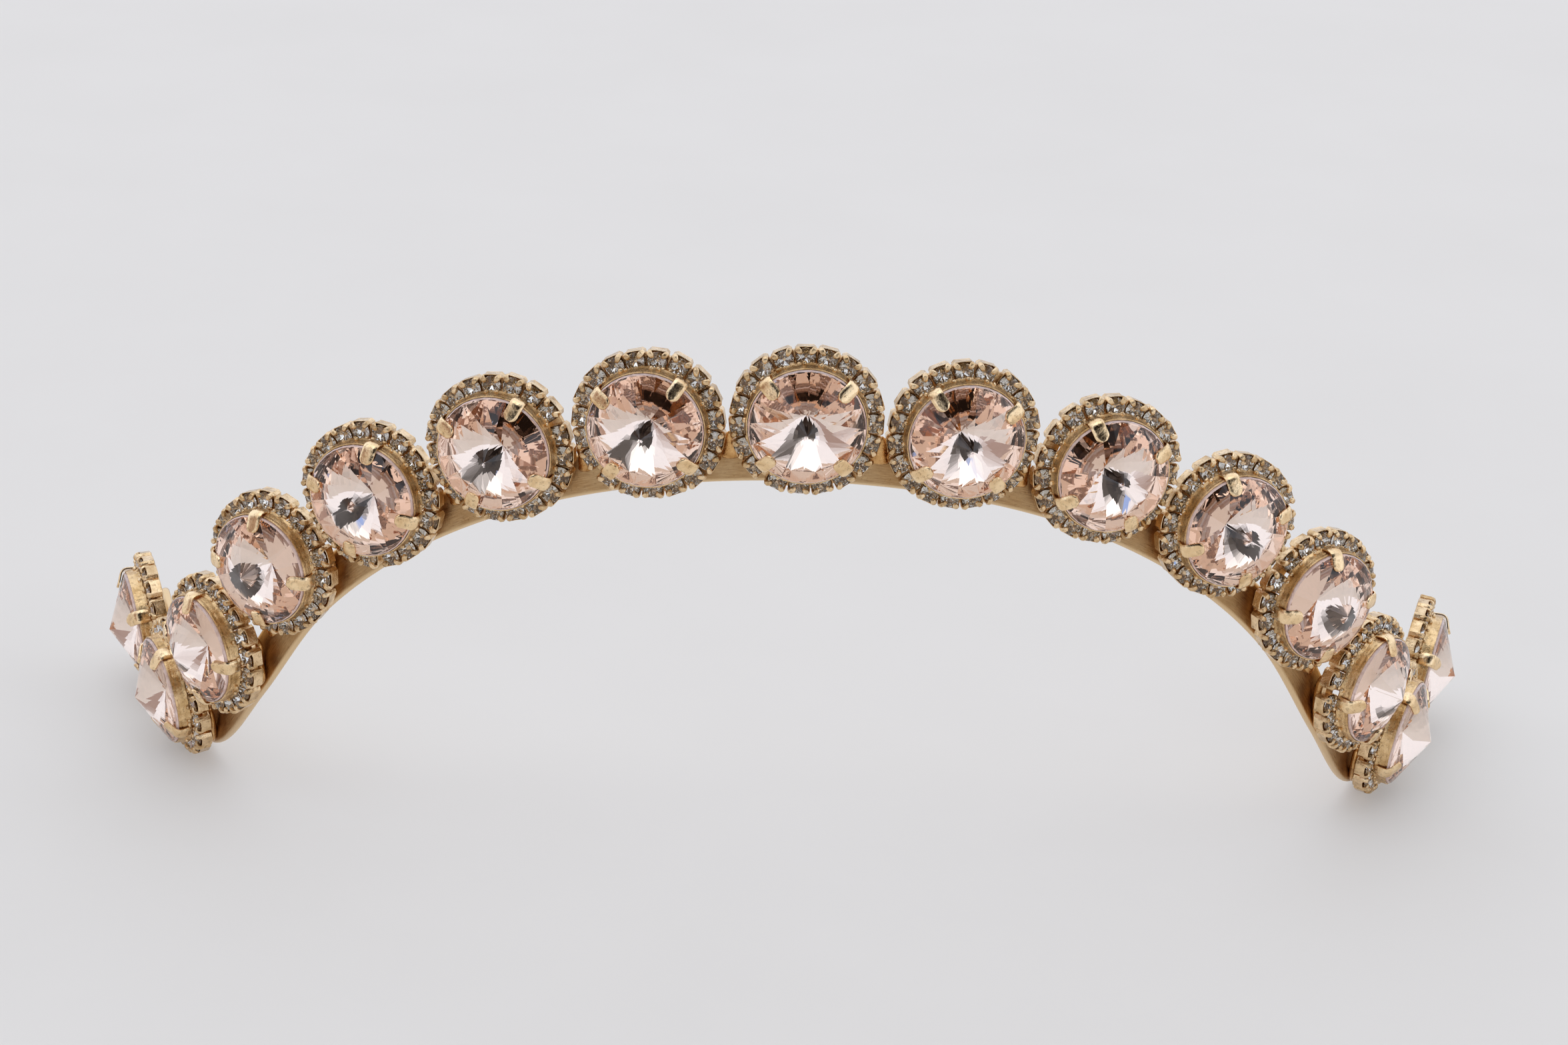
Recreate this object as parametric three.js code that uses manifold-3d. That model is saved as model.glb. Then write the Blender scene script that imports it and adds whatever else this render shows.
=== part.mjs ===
// A bridal tiara: a flat metal headband that carries fifteen crystal flowers.
// Each flower is a round crystal in a four-prong setting, ringed by a halo of small
// square stone cups. Millimetres, +Z up, the front of the tiara faces -Y.

import * as THREE from "three";
import { mergeVertices } from "three/addons/utils/BufferGeometryUtils.js";
import Module from "manifold-3d";

// Driving dimensions.
const FLOWERS_PER_SIDE = 7; // besides the one at the front
const CRYSTAL_R = 6;
const CROWN_HEIGHT = 2.9; // the cone in front of the girdle
const PAVILION_DEPTH = 2.8; // the cone behind it
const GIRDLE_HEIGHT = 0.24;
const GIRDLE_AHEAD = 1.5; // middle of the girdle, ahead of the halo's front face
const HALO_CUPS = 19;
const HALO_OUTER_R = 7.8;
const HALO_BACK_R = 7.5; // the cups are narrower at the back
const HALO_INNER_R = 5.55;
const HALO_DEPTH = 1.7;
const FIT_GAP = 0.3; // between pieces that touch on the real tiara
const SETTING_WALL = 0.4;
const SETTING_LIP_R = 6.7;
const PRONG_WIDTH = 1.6;
const PRONG_REACH = 2; // how far a prong folds in over the crown
const PRONG_FOOT = 0.4; // where a prong starts, ahead of the halo's front face
const PRONG_SHOULDER = 0.35; // the cut corner where it folds
const PRONG_TIP_SHARE = 0.8; // its thickness at the tip, against the setting's wall
const PRONG_ANGLES = [45, 135, 225, 315]; // degrees, from the band's own direction
const BAND_WIDTH = 4.4;
const BAND_THICKNESS = 1;
const BAND_BEVEL = 0.25;
const BAND_DROP = 5; // band's middle line, below the line of crystal centres
const BAND_SAMPLES_PER_FLOWER = 4;
const BAND_END = 7.56; // where the band ends, counted in flowers from the front
const TIP_ROUNDING = 0.14; // length of the rounded tip, counted in flowers
const TIP_ANGLES = [0, 30, 55, 75]; // degrees, places round the tip
const LEAN_FRONT = 4; // degrees that the front flowers look up
const LEAN_TIPS = -8; // degrees that the rear flowers look down
const LEAN_FROM = 3; // the lean changes between these two flowers
const LEAN_TO = 6;
const LATHE_SIDES = 16;
const SAME_POINT = 1e-4; // points closer than this are joined

// Heights along a flower's own axis, from the halo's front face.
const GIRDLE_TOP = GIRDLE_AHEAD + GIRDLE_HEIGHT / 2;
const GIRDLE_BOTTOM = GIRDLE_AHEAD - GIRDLE_HEIGHT / 2;
const SETTING_FLOOR = GIRDLE_BOTTOM - PAVILION_DEPTH - FIT_GAP;
const SETTING_BACK = SETTING_FLOOR - SETTING_WALL;
const BAND_FACE = SETTING_BACK - FIT_GAP;

// Centres of the flowers' halo fronts on the right half, from the front to the tip:
// across, back and up. The front is an arch; then the line drops past the temple and
// turns to run back behind the ear. The last point only steers the end of the band.
const RIGHT_HALF = [
  [0, 0, 46.8],
  [15.7, 1.2, 45.3],
  [30.6, 4.2, 40.9],
  [43.9, 8.5, 33.4],
  [54.7, 13.6, 23],
  [61.8, 20, 10.4],
  [67.1, 30.7, 0],
  [71.9, 45.8, 0.6],
  [76.5, 60, 6.2],
];

const GOLD = { color: 0xc8a573, roughness: 0.34, metalness: 1 };
const HALO_GOLD = { color: 0xb9a98c, roughness: 0.25, metalness: 0.9 };
const BLUSH = { color: 0xe6c4b8, roughness: 0.04, metalness: 0.1 };

const wasm = await Module();
wasm.setup();

function toSolid(geometry) {
  const bare = geometry.clone();
  bare.deleteAttribute("normal");
  bare.deleteAttribute("uv");
  const merged = mergeVertices(bare, SAME_POINT);
  return new wasm.Manifold(
    new wasm.Mesh({
      numProp: 3,
      vertProperties: merged.attributes.position.array,
      triVerts: new Uint32Array(merged.index.array),
    }),
  );
}

function toGeometry(solid) {
  const mesh = solid.getMesh();
  const geometry = new THREE.BufferGeometry();
  const positions = new THREE.BufferAttribute(mesh.vertProperties, 3);
  geometry.setAttribute("position", positions);
  geometry.setIndex(new THREE.BufferAttribute(mesh.triVerts, 1));
  geometry.computeVertexNormals();
  return geometry;
}

// A solid turned about the flower's own axis, +Z, from (radius, height) pairs.
function turned(profile, sides) {
  const points = profile.map(([radius, height]) => new THREE.Vector2(radius, height));
  return new THREE.LatheGeometry(points, sides).rotateX(Math.PI / 2);
}

// The line of flowers. Whole numbers of place are flowers: 0 is the front one.
const stations = RIGHT_HALF.map((p) => new THREE.Vector3(...p));
const mirrored = stations.slice(1).reverse();
const linePoints = [
  ...mirrored.map((p) => new THREE.Vector3(-p.x, p.y, p.z)),
  ...stations,
];
const line = new THREE.CatmullRomCurve3(linePoints, false, "centripetal");

// The frame at a place: +X along the band, +Y across it and up, +Z out of the face.
function frameAt(place) {
  const t = (place + mirrored.length) / (linePoints.length - 1);
  const along = line.getTangent(t);
  const out = new THREE.Vector3(along.y, -along.x, 0).normalize();
  const change = THREE.MathUtils.smoothstep(Math.abs(place), LEAN_FROM, LEAN_TO);
  const lean = THREE.MathUtils.lerp(LEAN_FRONT, LEAN_TIPS, change);
  out.applyAxisAngle(along, THREE.MathUtils.degToRad(-lean));
  const across = new THREE.Vector3().crossVectors(out, along);
  const frame = new THREE.Matrix4().makeBasis(along, across, out);
  return frame.setPosition(line.getPoint(t));
}

// The band is a bevelled strip swept behind the flowers, with rounded tips.
function bandGeometry() {
  const places = [];
  const steps = 2 * FLOWERS_PER_SIDE * BAND_SAMPLES_PER_FLOWER;
  for (let i = 0; i < steps; i += 1) {
    const place = -FLOWERS_PER_SIDE + (i + 0.5) / BAND_SAMPLES_PER_FLOWER;
    places.push({ place, share: 1 });
  }
  const tip = [];
  for (const angle of TIP_ANGLES) {
    const turn = THREE.MathUtils.degToRad(angle);
    const place = BAND_END - TIP_ROUNDING * (1 - Math.sin(turn));
    tip.push({ place, share: Math.cos(turn) });
  }
  const otherTip = tip.map(({ place, share }) => ({ place: -place, share }));
  const rings = [...otherTip.reverse(), ...places, ...tip];

  const bandBack = BAND_FACE - BAND_THICKNESS;
  const vertices = [];
  for (const { place, share } of rings) {
    const frame = frameAt(place);
    const half = (BAND_WIDTH / 2) * share;
    const flat = half - BAND_BEVEL * share;
    const section = [
      [-flat, bandBack],
      [flat, bandBack],
      [half, bandBack + BAND_BEVEL],
      [half, BAND_FACE - BAND_BEVEL],
      [flat, BAND_FACE],
      [-flat, BAND_FACE],
      [-half, BAND_FACE - BAND_BEVEL],
      [-half, bandBack + BAND_BEVEL],
    ];
    for (const [across, out] of section) {
      const point = new THREE.Vector3(0, across - BAND_DROP, out);
      vertices.push(...point.applyMatrix4(frame).toArray());
    }
  }
  const sides = 8;
  const faces = [];
  for (let r = 0; r < rings.length - 1; r += 1) {
    for (let s = 0; s < sides; s += 1) {
      const a = r * sides + s;
      const b = r * sides + ((s + 1) % sides);
      faces.push(a, b, a + sides, b, b + sides, a + sides);
    }
  }
  const last = (rings.length - 1) * sides;
  for (let s = 1; s < sides - 1; s += 1) {
    faces.push(0, s + 1, s);
    faces.push(last, last + s, last + s + 1);
  }
  const geometry = new THREE.BufferGeometry();
  geometry.setAttribute("position", new THREE.Float32BufferAttribute(vertices, 3));
  geometry.setIndex(faces);
  geometry.computeVertexNormals();
  return geometry;
}

// A two-cone crystal with a narrow girdle.
function crystalGeometry() {
  const profile = [
    [0, GIRDLE_BOTTOM - PAVILION_DEPTH],
    [CRYSTAL_R, GIRDLE_BOTTOM],
    [CRYSTAL_R, GIRDLE_TOP],
    [0, GIRDLE_TOP + CROWN_HEIGHT],
  ];
  return turned(profile, LATHE_SIDES);
}

// The ring of stone cups, with one flat side for each cup.
function haloGeometry() {
  const profile = [
    [HALO_INNER_R, -HALO_DEPTH],
    [HALO_BACK_R, -HALO_DEPTH],
    [HALO_OUTER_R, -HALO_DEPTH / 2],
    [HALO_OUTER_R, 0],
    [HALO_INNER_R, 0],
    [HALO_INNER_R, -HALO_DEPTH],
  ];
  return turned(profile, HALO_CUPS);
}

// The cup under the crystal: a floor, a wall through the halo and a lip over it.
function cupGeometry() {
  const haloBore = HALO_INNER_R * Math.cos(Math.PI / HALO_CUPS);
  const wallR = haloBore - FIT_GAP;
  const boreR = wallR - SETTING_WALL;
  const slope = PAVILION_DEPTH / CRYSTAL_R;
  const seatAtGirdle = GIRDLE_BOTTOM - FIT_GAP * Math.hypot(1, slope);
  const seat = (radius) => seatAtGirdle - (CRYSTAL_R - radius) * slope;
  const profile = [
    [0, SETTING_BACK],
    [wallR, SETTING_BACK],
    [wallR, FIT_GAP],
    [SETTING_LIP_R, FIT_GAP],
    [SETTING_LIP_R, seatAtGirdle],
    [CRYSTAL_R + FIT_GAP, seatAtGirdle],
    [boreR, seat(boreR)],
    [boreR, SETTING_FLOOR],
    [0, SETTING_FLOOR],
  ];
  return turned(profile, LATHE_SIDES);
}

// One prong, drawn from the side and extruded to its width: up past the girdle, then
// folded in over the crown.
function prongGeometry() {
  const slope = CROWN_HEIGHT / CRYSTAL_R;
  const crown = (radius) => GIRDLE_TOP + (CRYSTAL_R - radius) * slope;
  const inner = CRYSTAL_R + FIT_GAP;
  const outer = SETTING_LIP_R;
  const clearance = FIT_GAP * Math.hypot(1, slope);
  const thickness = SETTING_WALL * Math.hypot(1, slope);
  const end = CRYSTAL_R - PRONG_REACH;
  const fold = outer - PRONG_SHOULDER;
  const side = new THREE.Shape();
  side.moveTo(inner, PRONG_FOOT);
  side.lineTo(outer, PRONG_FOOT);
  side.lineTo(outer, GIRDLE_TOP + clearance / 2);
  side.lineTo(fold, crown(fold) + clearance + thickness);
  side.lineTo(end, crown(end) + clearance + thickness * PRONG_TIP_SHARE);
  side.lineTo(end, crown(end) + clearance);
  side.lineTo(inner, crown(inner) + clearance);
  const options = { depth: PRONG_WIDTH, bevelEnabled: false };
  const prong = new THREE.ExtrudeGeometry(side, options);
  return prong.translate(0, 0, -PRONG_WIDTH / 2).rotateX(Math.PI / 2);
}

function settingGeometry() {
  let setting = toSolid(cupGeometry());
  for (const angle of PRONG_ANGLES) {
    const prong = prongGeometry().rotateZ(THREE.MathUtils.degToRad(angle));
    setting = setting.add(toSolid(prong));
  }
  return toGeometry(setting);
}

const tiara = new THREE.Group();

function addPiece(parent, name, geometry, look) {
  const piece = new THREE.Mesh(geometry, new THREE.MeshStandardMaterial(look));
  piece.name = name;
  parent.add(piece);
}

addPiece(tiara, "headband", bandGeometry(), GOLD);
const crystal = crystalGeometry();
const halo = haloGeometry();
const setting = settingGeometry();
for (let place = -FLOWERS_PER_SIDE; place <= FLOWERS_PER_SIDE; place += 1) {
  const flower = new THREE.Group();
  flower.applyMatrix4(frameAt(place));
  const number = String(place + FLOWERS_PER_SIDE + 1).padStart(2, "0");
  addPiece(flower, `crystal_${number}`, crystal, BLUSH);
  addPiece(flower, `setting_${number}`, setting, GOLD);
  addPiece(flower, `halo_${number}`, halo, HALO_GOLD);
  tiara.add(flower);
}

// The origin is on the surface that the tiara is set down on, at the middle of its
// depth, between the two sides.
const box = new THREE.Box3().setFromObject(tiara, true);
const middle = box.getCenter(new THREE.Vector3());
tiara.position.set(-middle.x, -middle.y, -box.min.z);

export default tiara;
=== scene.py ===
import math

import bmesh
import bpy
import numpy as np
from mathutils import Matrix


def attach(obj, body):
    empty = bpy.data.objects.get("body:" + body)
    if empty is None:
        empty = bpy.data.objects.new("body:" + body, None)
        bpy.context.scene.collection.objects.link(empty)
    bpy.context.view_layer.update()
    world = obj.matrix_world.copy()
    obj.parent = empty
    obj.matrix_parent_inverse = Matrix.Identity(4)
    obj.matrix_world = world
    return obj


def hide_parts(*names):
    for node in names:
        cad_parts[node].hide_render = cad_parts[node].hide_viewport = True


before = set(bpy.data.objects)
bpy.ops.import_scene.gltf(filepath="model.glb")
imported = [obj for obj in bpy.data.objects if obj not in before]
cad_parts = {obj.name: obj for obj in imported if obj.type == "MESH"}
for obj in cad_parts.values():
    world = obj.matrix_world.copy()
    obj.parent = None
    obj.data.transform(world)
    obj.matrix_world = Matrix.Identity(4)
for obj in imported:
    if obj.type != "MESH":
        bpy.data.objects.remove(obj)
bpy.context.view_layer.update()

# Lengths are in millimetres until a piece's mesh is made. A flower's own axes are x along the
# band, y across it and z outwards, from the middle of the halo's front face.
MM = 0.001
WELD = 0.001
FLOWERS = 15
FRONT_FLOWER = 8

# Sizes that are the same in the CAD part.
CROWN_HEIGHT = 2.9
PAVILION_DEPTH = 2.8
GIRDLE_HEIGHT = 0.24
GIRDLE_AHEAD = 1.5
HALO_OUTER_R = 7.8
HALO_DEPTH = 1.7
BAND_WIDTH = 4.4
BAND_THICKNESS = 1.0
BAND_DROP = 5.0
BAND_FACE = -2.42
BAND_MIDDLE = BAND_FACE - BAND_THICKNESS / 2
PRONG_ANGLES = (45, 135, 225, 315)  # degrees

GIRDLE_TOP = GIRDLE_AHEAD + GIRDLE_HEIGHT / 2
GIRDLE_BOTTOM = GIRDLE_AHEAD - GIRDLE_HEIGHT / 2
FRONT_APEX = GIRDLE_TOP + CROWN_HEIGHT
BACK_APEX = GIRDLE_BOTTOM - PAVILION_DEPTH


# ---------------------------------------------------------------- frames from the CAD nodes

def node_points(name):
    """The points of a CAD node, in millimetres."""
    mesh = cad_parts[name].data
    flat = np.empty(len(mesh.vertices) * 3, np.float32)
    mesh.vertices.foreach_get("co", flat)
    return flat.reshape(-1, 3).astype(float) / MM


def unit(v):
    return v / np.linalg.norm(v)


def outward_axis(number):
    """Where a flower's own origin is, and which way the flower faces."""
    crystal = node_points(f"crystal_{number:02d}")
    halo = node_points(f"halo_{number:02d}")
    middle = (crystal.min(0) + crystal.max(0)) / 2
    spread = crystal - middle
    axis = np.linalg.eigh(spread.T @ spread)[1][:, 0]
    if (middle - (halo.min(0) + halo.max(0)) / 2) @ axis < 0:
        axis = -axis
    apex = crystal[np.argmax(crystal @ axis)]
    return apex - axis * FRONT_APEX, axis


def flower_frames():
    """Each flower's origin and its three axes, as rows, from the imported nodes."""
    origins, outs = zip(*[outward_axis(n) for n in range(1, FLOWERS + 1)])
    frames = []
    for i in range(FLOWERS):
        ahead, behind = min(i + 1, FLOWERS - 1), max(i - 1, 0)
        out = outs[i]
        along = origins[ahead] - origins[behind]
        along = unit(along - (along @ out) * out)
        across = np.cross(out, along)
        # The four prongs stand halfway between the axes, which gives the exact turn.
        setting = node_points(f"setting_{i + 1:02d}") - origins[i]
        tips = setting[setting @ out > (setting @ out).max() - 0.2]
        angles = np.arctan2(tips @ across, tips @ along)
        turn = np.angle(-np.mean(np.exp(4j * angles))) / 4
        exact = math.cos(turn) * along + math.sin(turn) * across
        frames.append((origins[i], exact, np.cross(out, exact), out))
    return frames


FRAMES = flower_frames()


def place(points, flower):
    """Points in a flower's own axes, moved to the row frame."""
    origin, along, across, out = flower
    points = np.asarray(points, float)
    return origin + points @ np.array([along, across, out])


# ---------------------------------------------------------------- mesh building

class Shape:
    """Gathers the points and faces of one piece, in millimetres."""

    def __init__(self):
        self.points, self.faces, self.slots, self.count = [], [], [], 0

    def add(self, points, faces, slot=0):
        self.points.append(np.asarray(points, float))
        self.faces += [[i + self.count for i in face] for face in faces]
        self.slots += [slot] * len(faces) if isinstance(slot, int) else list(slot)
        self.count += len(points)

    def piece(self, name, materials, smooth_angle=None, weld=False):
        mesh = bpy.data.meshes.new(name)
        points = np.concatenate(self.points) * MM
        mesh.from_pydata(points.tolist(), [], self.faces)
        for material in materials:
            mesh.materials.append(material)
        mesh.polygons.foreach_set("material_index", self.slots)
        mesh.validate()
        if weld:
            joined = bmesh.new()
            joined.from_mesh(mesh)
            bmesh.ops.remove_doubles(joined, verts=joined.verts, dist=WELD * MM)
            joined.to_mesh(mesh)
            joined.free()
        mesh.update()
        if smooth_angle is not None:
            mesh.polygons.foreach_set("use_smooth", [True] * len(mesh.polygons))
            mesh.set_sharp_from_angle(angle=math.radians(smooth_angle))
        made = bpy.data.objects.new(name, mesh)
        bpy.context.scene.collection.objects.link(made)
        return made


def ring_faces(rings, around):
    """Quads that join rings of `around` points each."""
    faces = []
    for low in range(0, (rings - 1) * around, around):
        high = low + around
        for a in range(around):
            b = (a + 1) % around
            faces.append([low + a, low + b, high + b, high + a])
    return faces


def capped_faces(rings, around):
    """The faces of a closed tube: its rings joined, and a cap on each end."""
    last = (rings - 1) * around
    caps = [list(range(around))[::-1], [last + i for i in range(around)]]
    return ring_faces(rings, around) + caps


def flipped(faces):
    return [face[::-1] for face in faces]


def turned(profile, sides, wobble=None):
    """A closed ring with this (radius, height) outline, which runs with the solid on its left."""
    points = []
    for s in range(sides):
        angle = 2 * math.pi * s / sides
        for i, (r, z) in enumerate(profile):
            dr, dz = wobble(angle, i) if wobble else (0, 0)
            points.append(((r + dr) * math.cos(angle), (r + dr) * math.sin(angle), z + dz))
    n = len(profile)
    faces = []
    for s in range(sides):
        t = (s + 1) % sides
        for i in range(n):
            j = (i + 1) % n
            faces.append([s * n + i, t * n + i, t * n + j, s * n + j])
    return np.array(points), faces


def polar(radius, angle, z):
    return (radius * math.cos(angle), radius * math.sin(angle), z)


def rotation(axis, angle):
    """The matrix of a turn about the x, y or z axis."""
    c, s = math.cos(angle), math.sin(angle)
    rows = {
        "x": [[1, 0, 0], [0, c, -s], [0, s, c]],
        "y": [[c, 0, s], [0, 1, 0], [-s, 0, c]],
        "z": [[c, -s, 0], [s, c, 0], [0, 0, 1]],
    }
    return np.array(rows[axis])


def turned_about(points, axis, angle):
    return points @ rotation(axis, angle).T


# ---------------------------------------------------------------- materials

# Noise scales are per metre, except the band's streaks, whose coordinates are in millimetres.
# Bump distances are in metres.
WHITE = (1.0, 1.0, 1.0)
CRYSTAL_IOR = 1.56
STONE_IOR = 1.54


def new_material(name):
    material = bpy.data.materials.new(name)
    material.use_nodes = True
    tree = material.node_tree
    tree.nodes.clear()
    output = tree.nodes.new("ShaderNodeOutputMaterial")
    shader = tree.nodes.new("ShaderNodeBsdfPrincipled")
    tree.links.new(shader.outputs["BSDF"], output.inputs["Surface"])
    return material, tree, shader


def noise(tree, scale, detail, roughness=0.55, vector=None, distortion=0.0):
    """A noise texture's value, on the object's own coordinates unless a vector is given."""
    node = tree.nodes.new("ShaderNodeTexNoise")
    node.inputs["Scale"].default_value = scale
    node.inputs["Detail"].default_value = detail
    node.inputs["Roughness"].default_value = roughness
    node.inputs["Distortion"].default_value = distortion
    if vector is None:
        vector = tree.nodes.new("ShaderNodeTexCoord").outputs["Object"]
    tree.links.new(vector, node.inputs["Vector"])
    return node.outputs["Fac"]


def ramp(tree, value, *stops):
    """A colour ramp with (position, colour) stops."""
    node = tree.nodes.new("ShaderNodeValToRGB")
    tree.links.new(value, node.inputs["Fac"])
    elements = node.color_ramp.elements
    while len(elements) < len(stops):
        elements.new(0.5)
    for element, (position, colour) in zip(elements, stops):
        element.position = position
        element.color = (*colour, 1)
    return node.outputs["Color"]


def remap(tree, value, low, high, to_low, to_high):
    """Takes low..high to to_low..to_high, and holds it there outside."""
    node = tree.nodes.new("ShaderNodeMapRange")
    tree.links.new(value, node.inputs["Value"])
    limits = {"From Min": low, "From Max": high, "To Min": to_low, "To Max": to_high}
    for socket, number in limits.items():
        node.inputs[socket].default_value = number
    return node.outputs["Result"]


def mixed(tree, factor, a, b, blend="MIX"):
    """Two colours, each a tuple or a socket, mixed by a number or a socket."""
    node = tree.nodes.new("ShaderNodeMix")
    node.data_type = "RGBA"
    node.blend_type = blend
    if isinstance(factor, float):
        node.inputs["Factor"].default_value = factor
    else:
        tree.links.new(factor, node.inputs["Factor"])
    for socket, colour in ((node.inputs["A"], a), (node.inputs["B"], b)):
        if isinstance(colour, tuple):
            socket.default_value = (*colour, 1)
        else:
            tree.links.new(colour, socket)
    return node.outputs["Result"]


def bump(tree, shader, height, strength, distance, after=None):
    """Relief from a height, on top of an earlier relief, led into the shader if there is one."""
    node = tree.nodes.new("ShaderNodeBump")
    node.inputs["Strength"].default_value = strength
    node.inputs["Distance"].default_value = distance
    tree.links.new(height, node.inputs["Height"])
    if after is not None:
        tree.links.new(after, node.inputs["Normal"])
    if shader is not None:
        tree.links.new(node.outputs["Normal"], shader.inputs["Normal"])
    return node.outputs["Normal"]


def gold_material(name, pale, deep, rough_low, rough_high, pit_depth):
    """Plated metal: a warm colour that varies, a pitted surface and worn, duller patches."""
    material, tree, shader = new_material(name)
    patches = noise(tree, 700, 3)
    colour = ramp(tree, patches, (0.32, deep), (0.62, pale))
    stains = ramp(tree, noise(tree, 2300, 6, 0.75), (0.36, (0.42, 0.38, 0.34)), (0.47, WHITE))
    tree.links.new(mixed(tree, 0.75, colour, stains, "MULTIPLY"), shader.inputs["Base Color"])
    shader.inputs["Metallic"].default_value = 1.0
    grain = noise(tree, 5200, 5, 0.65)
    dullness = remap(tree, grain, 0.3, 0.7, rough_low, rough_high)
    tree.links.new(dullness, shader.inputs["Roughness"])
    waves = bump(tree, None, noise(tree, 1500, 2), 0.35, 0.00012)
    bump(tree, shader, grain, 0.6, pit_depth, waves)
    return material


STREAK_STRETCH = (0.7, 9.0, 1.0)  # streaks run about thirteen times longer than they are wide
# The band is painted paler between these two distances from its middle and its edge: a painted highlight
# on the rolled rims.
EDGE_HIGHLIGHT_FROM = BAND_WIDTH / 2 - 0.5
EDGE_HIGHLIGHT_TO = BAND_WIDTH / 2 - 0.2
EDGE_HIGHLIGHT_GOLD = (0.86, 0.64, 0.38)


def band_material():
    """Brushed brass-gold: streaks along the band, pits and warm blotches, all kept dark as painted shade,
    and paler edges that are a painted highlight.
    """
    material, tree, shader = new_material("brushed band gold")
    uv = tree.nodes.new("ShaderNodeUVMap")
    uv.uv_map = "along"
    stretch = tree.nodes.new("ShaderNodeMapping")
    stretch.inputs["Scale"].default_value = STREAK_STRETCH
    tree.links.new(uv.outputs["UV"], stretch.inputs["Vector"])
    streaks = noise(tree, 1.0, 6, 0.7, stretch.outputs["Vector"], 0.15)
    blotches = noise(tree, 260, 4, 0.6)
    # These colours are kept dark as painted shade, for the shade the band lies in behind the halos; the
    # streaks between them are its brushing.
    deep, middle, pale = (0.34, 0.21, 0.105), (0.46, 0.30, 0.15), (0.60, 0.41, 0.215)
    base = ramp(tree, streaks, (0.3, deep), (0.5, middle), (0.72, pale))
    warm = ramp(tree, blotches, (0.35, (0.80, 0.64, 0.44)), (0.65, WHITE))
    specks = ramp(tree, noise(tree, 3200, 5, 0.75), (0.33, (0.5, 0.4, 0.3)), (0.41, WHITE))
    face = mixed(tree, 0.7, mixed(tree, 0.6, base, warm, "MULTIPLY"), specks, "MULTIPLY")
    apart = tree.nodes.new("ShaderNodeSeparateXYZ")
    tree.links.new(uv.outputs["UV"], apart.inputs["Vector"])
    distance = tree.nodes.new("ShaderNodeMath")
    distance.operation = "ABSOLUTE"
    tree.links.new(apart.outputs["Y"], distance.inputs[0])
    # Paler towards both edges: a painted highlight on the rolled rims.
    worn = remap(tree, distance.outputs["Value"], EDGE_HIGHLIGHT_FROM, EDGE_HIGHLIGHT_TO, 0.0, 0.8)
    tree.links.new(mixed(tree, worn, face, EDGE_HIGHLIGHT_GOLD), shader.inputs["Base Color"])
    shader.inputs["Metallic"].default_value = 1.0
    tree.links.new(remap(tree, streaks, 0.3, 0.7, 0.24, 0.42), shader.inputs["Roughness"])
    pits = noise(tree, 4200, 4, 0.6)
    fine = bump(tree, None, pits, 0.35, 0.00004)
    bump(tree, shader, streaks, 0.5, 0.00005, fine)
    return material


def glass_material(name, tint, ior, roughness):
    """Cut glass, with a trace of dust and fine scratches in its polish."""
    material, tree, shader = new_material(name)
    shader.inputs["Transmission Weight"].default_value = 1.0
    shader.inputs["IOR"].default_value = ior
    dust = noise(tree, 2600, 6, 0.7)
    dusty = tuple(c * 0.96 for c in tint)
    tree.links.new(ramp(tree, dust, (0.28, dusty), (0.6, tint)), shader.inputs["Base Color"])
    scratched = remap(tree, dust, 0.62, 0.85, roughness, roughness + 0.12)
    tree.links.new(scratched, shader.inputs["Roughness"])
    return material


def foil_material(name, bright, dull, speckle_scale, relief):
    """The mirror coat behind a stone, finely speckled where the lacquer is uneven."""
    material, tree, shader = new_material(name)
    speckle = noise(tree, speckle_scale, 5, 0.7)
    tree.links.new(ramp(tree, speckle, (0.27, dull), (0.34, bright)), shader.inputs["Base Color"])
    shader.inputs["Metallic"].default_value = 1.0
    tree.links.new(remap(tree, speckle, 0.3, 0.5, 0.06, 0.0), shader.inputs["Roughness"])
    bump(tree, shader, speckle, 0.25, relief)
    return material


def girdle_material():
    """The crystal's rim, where the foil behind it makes the glass look milky and pale."""
    material, tree, shader = new_material("blush girdle")
    cloud = noise(tree, 1800, 3)
    milky = ramp(tree, cloud, (0.35, (0.72, 0.52, 0.45)), (0.6, (0.88, 0.70, 0.64)))
    tree.links.new(milky, shader.inputs["Base Color"])
    tree.links.new(remap(tree, cloud, 0.3, 0.7, 0.12, 0.28), shader.inputs["Roughness"])
    shader.inputs["Transmission Weight"].default_value = 0.35
    shader.inputs["IOR"].default_value = CRYSTAL_IOR
    return material


BAND_GOLD = band_material()
PRONG_GOLD = gold_material("prong gold", (1.0, 0.76, 0.46), (0.76, 0.51, 0.26), 0.06, 0.22, 4e-5)
SETTING_GOLD = gold_material("setting gold", (0.88, 0.62, 0.33), (0.58, 0.36, 0.15), 0.20, 0.40, 7e-5)
CUP_GOLD = gold_material("halo cup gold", (0.88, 0.65, 0.39), (0.52, 0.33, 0.15), 0.06, 0.26, 7e-5)
# The solder's gold is a darker, more orange copy of the gold: painted shade and painted warm reflected
# light, for the crevices behind and between the halos where it sits.
SHADED_SOLDER_GOLD = gold_material("solder", (0.74, 0.44, 0.18), (0.44, 0.22, 0.07), 0.14, 0.32, 5e-5)
BLUSH_GLASS = glass_material("blush crystal glass", (0.99, 0.975, 0.97), CRYSTAL_IOR, 0.0)
BLUSH_FOIL = foil_material("crystal foil", (0.94, 0.80, 0.70), (0.48, 0.34, 0.26), 9000, 3e-7)
BLUSH_GIRDLE = girdle_material()
STONE_GLASS = glass_material("clear stone glass", (0.97, 0.97, 0.97), STONE_IOR, 0.01)
STONE_FOIL = foil_material("stone foil", (0.74, 0.71, 0.66), (0.4, 0.38, 0.36), 6000, 1e-6)


# ---------------------------------------------------------------- cut stones

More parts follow.
